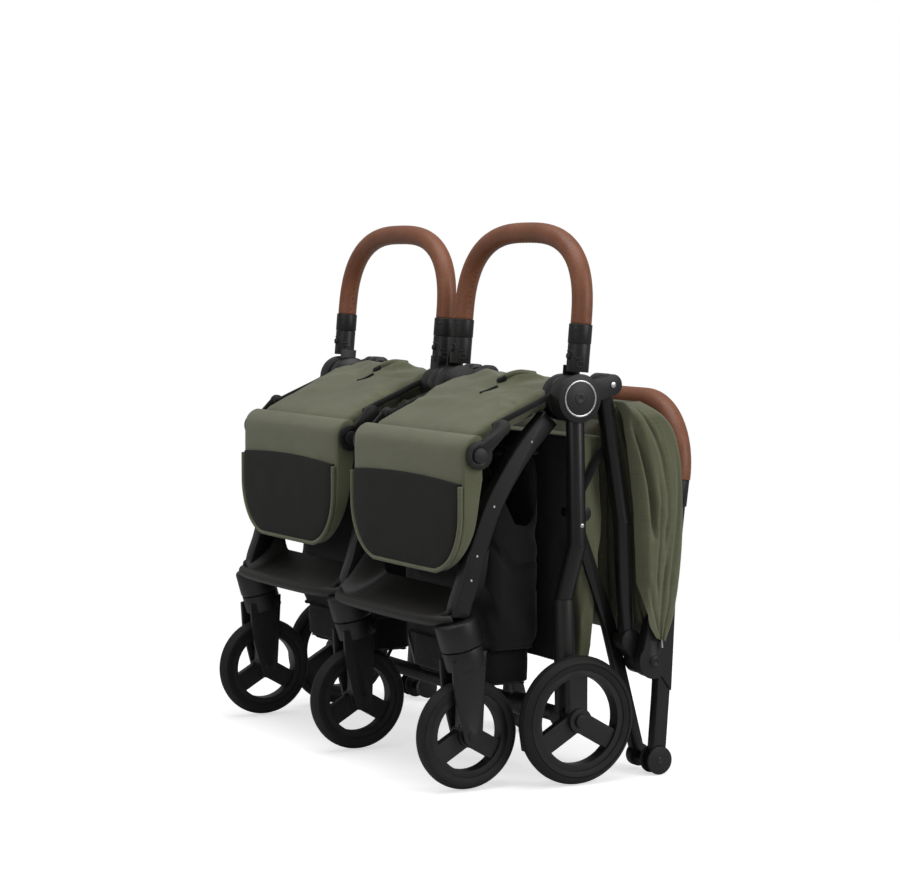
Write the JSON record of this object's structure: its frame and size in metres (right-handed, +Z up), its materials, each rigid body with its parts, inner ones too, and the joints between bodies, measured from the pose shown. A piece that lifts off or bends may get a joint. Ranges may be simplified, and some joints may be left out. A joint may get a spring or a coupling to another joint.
{
  "type": "twin folding stroller",
  "caption": "Folded side-by-side twin compact stroller with hub-pivoted frame, leather-look bumper bars, swivel casters, canopies, leg rests and a folding push handle.",
  "frame": {"origin": "centre of the footprint of the folded stroller's bounding box, on the floor", "axes": "+X to the side, across the two seats; +Y rearwards, towards the folded handlebar; +Z up"},
  "size_m": [0.76, 0.4222, 0.7621],
  "materials": {
    "frame_black": "matte powder coat",
    "plastic_black": "fine satin",
    "buttons": "satin",
    "bright_metal": "bright",
    "tyres": "matte",
    "rims": "satin",
    "olive_fabric": "woven, matte",
    "black_fabric": "woven, matte",
    "leather_grip": "semi-matte grain"
  },
  "bodies": {
    "rear_frame": {"hub_housings": "frame_black", "hub_caps": "plastic_black", "hub_rings": "bright_metal", "rear_legs": "frame_black", "leg_sleeves": "frame_black", "rear_axle": "frame_black", "frame_screws": "bright_metal", "basket_right": "black_fabric", "basket_left": "black_fabric", "back_sling_right": "olive_fabric", "back_sling_left": "olive_fabric"},
    "rear_wheel_right": {"rear_tyre_right": "tyres", "rear_rim_right": "rims"},
    "rear_wheel_left": {"rear_tyre_left": "tyres", "rear_rim_left": "rims"},
    "front_frame": {"front_legs": "frame_black", "caster_sockets": "plastic_black", "footrest_right": "plastic_black", "footrest_left": "plastic_black"},
    "caster_right": {"fork_right": "plastic_black"},
    "caster_middle": {"fork_middle": "plastic_black"},
    "caster_left": {"fork_left": "plastic_black"},
    "front_wheel_right": {"front_tyre_right": "tyres", "front_rim_right": "rims"},
    "front_wheel_middle": {"front_tyre_middle": "tyres", "front_rim_middle": "rims"},
    "front_wheel_left": {"front_tyre_left": "tyres", "front_rim_left": "rims"},
    "pusher": {"lower_pushers": "frame_black", "pusher_ends": "plastic_black", "backrest_right": "olive_fabric", "backrest_left": "olive_fabric"},
    "upper_pusher": {"upper_pushers": "frame_black", "joint_housings": "plastic_black", "pusher_feet": "plastic_black", "handle_sleeves": "plastic_black", "handlebar": "leather_grip"},
    "fold_button": {"fold_button": "plastic_black"},
    "canopies": {"canopy_right": "olive_fabric", "canopy_left": "olive_fabric"},
    "braces": {"braces": "frame_black"},
    "seats": {"seat_right": "olive_fabric", "seat_left": "olive_fabric", "seat_hinges": "plastic_black"},
    "leg_rest_right": {"leg_rest_right": "olive_fabric"},
    "leg_rest_left": {"leg_rest_left": "olive_fabric"},
    "bumper_mounts": {"bumper_sockets": "plastic_black"},
    "bumper_bar_right": {"bumper_collars_right": "plastic_black", "bumper_grip_right": "leather_grip"},
    "bumper_bar_left": {"bumper_collars_left": "plastic_black", "bumper_grip_left": "leather_grip"},
    "brake_pedal": {"brake_pedal": "plastic_black"},
    "rest_button_1": {"rest_button_1": "buttons"},
    "bumper_button_1": {"bumper_button_1": "buttons"},
    "rest_button_2": {"rest_button_2": "buttons"},
    "bumper_button_2": {"bumper_button_2": "buttons"},
    "rest_button_3": {"rest_button_3": "buttons"},
    "bumper_button_3": {"bumper_button_3": "buttons"},
    "rest_button_4": {"rest_button_4": "buttons"},
    "bumper_button_4": {"bumper_button_4": "buttons"}
  },
  "joints": [
    {"name": "pusher_unfold", "type": "hinge", "parent": "rear_frame", "child": "pusher", "pos_m": [0, 0.06985, 0.541], "axis": [1, 0, 0], "range_deg": [0, 99]},
    {"name": "upper_unfold", "type": "hinge", "parent": "pusher", "child": "upper_pusher", "pos_m": [0, 0.13585, 0.159], "axis": [-1, 0, 0], "range_deg": [0, 155.2]},
    {"name": "brace_swing", "type": "hinge", "parent": "rear_frame", "child": "braces", "pos_m": [0, 0.03485, 0.366], "axis": [1, 0, 0], "range_deg": [0, 108.6]},
    {"name": "front_fold", "type": "hinge", "parent": "rear_frame", "child": "front_frame", "pos_m": [0, 0.01585, 0.524], "axis": [-1, 0, 0], "range_deg": [0, 42.2]},
    {"name": "seat_fold", "type": "hinge", "parent": "rear_frame", "child": "seats", "pos_m": [0, 0.01585, 0.524], "axis": [-1, 0, 0], "range_deg": [0, 45.2]},
    {"name": "bumper_fold", "type": "hinge", "parent": "rear_frame", "child": "bumper_mounts", "pos_m": [0, 0.01585, 0.524], "axis": [1, 0, 0], "range_deg": [0, 30.2]},
    {"name": "canopy_open", "type": "hinge", "parent": "upper_pusher", "child": "canopies", "pos_m": [0, 0.13585, 0.159], "axis": [1, 0, 0], "range_deg": [0, 60.2]},
    {"name": "rear_wheel_spin_right", "type": "hinge", "parent": "rear_frame", "child": "rear_wheel_right", "pos_m": [0.364, 0.01285, 0.088], "axis": [1, 0, 0], "continuous": true},
    {"name": "rear_wheel_spin_left", "type": "hinge", "parent": "rear_frame", "child": "rear_wheel_left", "pos_m": [-0.364, 0.01285, 0.088], "axis": [1, 0, 0], "continuous": true},
    {"name": "caster_swivel_right", "type": "hinge", "parent": "front_frame", "child": "caster_right", "pos_m": [0.325, -0.14315, 0.193], "axis": [0, -0.2756, 0.9613], "range_deg": [-26, 100]},
    {"name": "front_wheel_spin_right", "type": "hinge", "parent": "caster_right", "child": "front_wheel_right", "pos_m": [0.325, -0.13615, 0.076], "axis": [1, 0, 0], "continuous": true},
    {"name": "caster_swivel_middle", "type": "hinge", "parent": "front_frame", "child": "caster_middle", "pos_m": [0, -0.14315, 0.193], "axis": [0, -0.2756, 0.9613], "continuous": true},
    {"name": "front_wheel_spin_middle", "type": "hinge", "parent": "caster_middle", "child": "front_wheel_middle", "pos_m": [0, -0.13615, 0.076], "axis": [1, 0, 0], "continuous": true},
    {"name": "caster_swivel_left", "type": "hinge", "parent": "front_frame", "child": "caster_left", "pos_m": [-0.325, -0.14315, 0.193], "axis": [0, -0.2756, 0.9613], "range_deg": [-100, 26]},
    {"name": "front_wheel_spin_left", "type": "hinge", "parent": "caster_left", "child": "front_wheel_left", "pos_m": [-0.325, -0.13615, 0.076], "axis": [1, 0, 0], "continuous": true},
    {"name": "leg_rest_lift_right", "type": "hinge", "parent": "seats", "child": "leg_rest_right", "pos_m": [0, -0.13415, 0.452], "axis": [-1, 0, 0], "range_deg": [0, 70]},
    {"name": "leg_rest_lift_left", "type": "hinge", "parent": "seats", "child": "leg_rest_left", "pos_m": [0, -0.13415, 0.452], "axis": [-1, 0, 0], "range_deg": [0, 70]},
    {"name": "rest_button_1_press", "type": "slide", "parent": "seats", "child": "rest_button_1", "axis": [-1, 0, 0], "range_m": [0, 0.003], "stiffness_N_per_m": 400, "springref_m": -0.001},
    {"name": "rest_button_2_press", "type": "slide", "parent": "seats", "child": "rest_button_2", "axis": [1, 0, 0], "range_m": [0, 0.003], "stiffness_N_per_m": 400, "springref_m": -0.001},
    {"name": "rest_button_3_press", "type": "slide", "parent": "seats", "child": "rest_button_3", "axis": [-1, 0, 0], "range_m": [0, 0.003], "stiffness_N_per_m": 400, "springref_m": -0.001},
    {"name": "rest_button_4_press", "type": "slide", "parent": "seats", "child": "rest_button_4", "axis": [1, 0, 0], "range_m": [0, 0.003], "stiffness_N_per_m": 400, "springref_m": -0.001},
    {"name": "bumper_pull_right", "type": "slide", "parent": "bumper_mounts", "child": "bumper_bar_right", "axis": [0, 0.0872, 0.9962], "range_m": [0, 0.06]},
    {"name": "bumper_pull_left", "type": "slide", "parent": "bumper_mounts", "child": "bumper_bar_left", "axis": [0, 0.0872, 0.9962], "range_m": [0, 0.06]},
    {"name": "bumper_button_1_press", "type": "slide", "parent": "bumper_mounts", "child": "bumper_button_1", "axis": [0, 0.9962, -0.0872], "range_m": [0, 0.0018], "stiffness_N_per_m": 400, "springref_m": -0.001},
    {"name": "bumper_button_2_press", "type": "slide", "parent": "bumper_mounts", "child": "bumper_button_2", "axis": [0, 0.9962, -0.0872], "range_m": [0, 0.0018], "stiffness_N_per_m": 400, "springref_m": -0.001},
    {"name": "bumper_button_3_press", "type": "slide", "parent": "bumper_mounts", "child": "bumper_button_3", "axis": [0, 0.9962, -0.0872], "range_m": [0, 0.0018], "stiffness_N_per_m": 400, "springref_m": -0.001},
    {"name": "bumper_button_4_press", "type": "slide", "parent": "bumper_mounts", "child": "bumper_button_4", "axis": [0, 0.9962, -0.0872], "range_m": [0, 0.0018], "stiffness_N_per_m": 400, "springref_m": -0.001},
    {"name": "fold_button_press", "type": "slide", "parent": "upper_pusher", "child": "fold_button", "axis": [0, 0.1289, 0.9917], "range_m": [0, 0.005], "stiffness_N_per_m": 400, "springref_m": -0.001},
    {"name": "brake_press", "type": "hinge", "parent": "rear_frame", "child": "brake_pedal", "pos_m": [0.225, 0.01285, 0.088], "axis": [1, 0, 0], "range_deg": [0, 25]}
  ],
  "couplings": [
    {"joint": "upper_unfold", "follows": "pusher_unfold", "ratio": 1.5657},
    {"joint": "brace_swing", "follows": "pusher_unfold", "ratio": 1.0949},
    {"joint": "front_fold", "follows": "pusher_unfold", "ratio": 0.42424},
    {"joint": "seat_fold", "follows": "pusher_unfold", "ratio": 0.45454},
    {"joint": "bumper_fold", "follows": "pusher_unfold", "ratio": 0.30303},
    {"joint": "canopy_open", "follows": "pusher_unfold", "ratio": 0.60606}
  ]
}
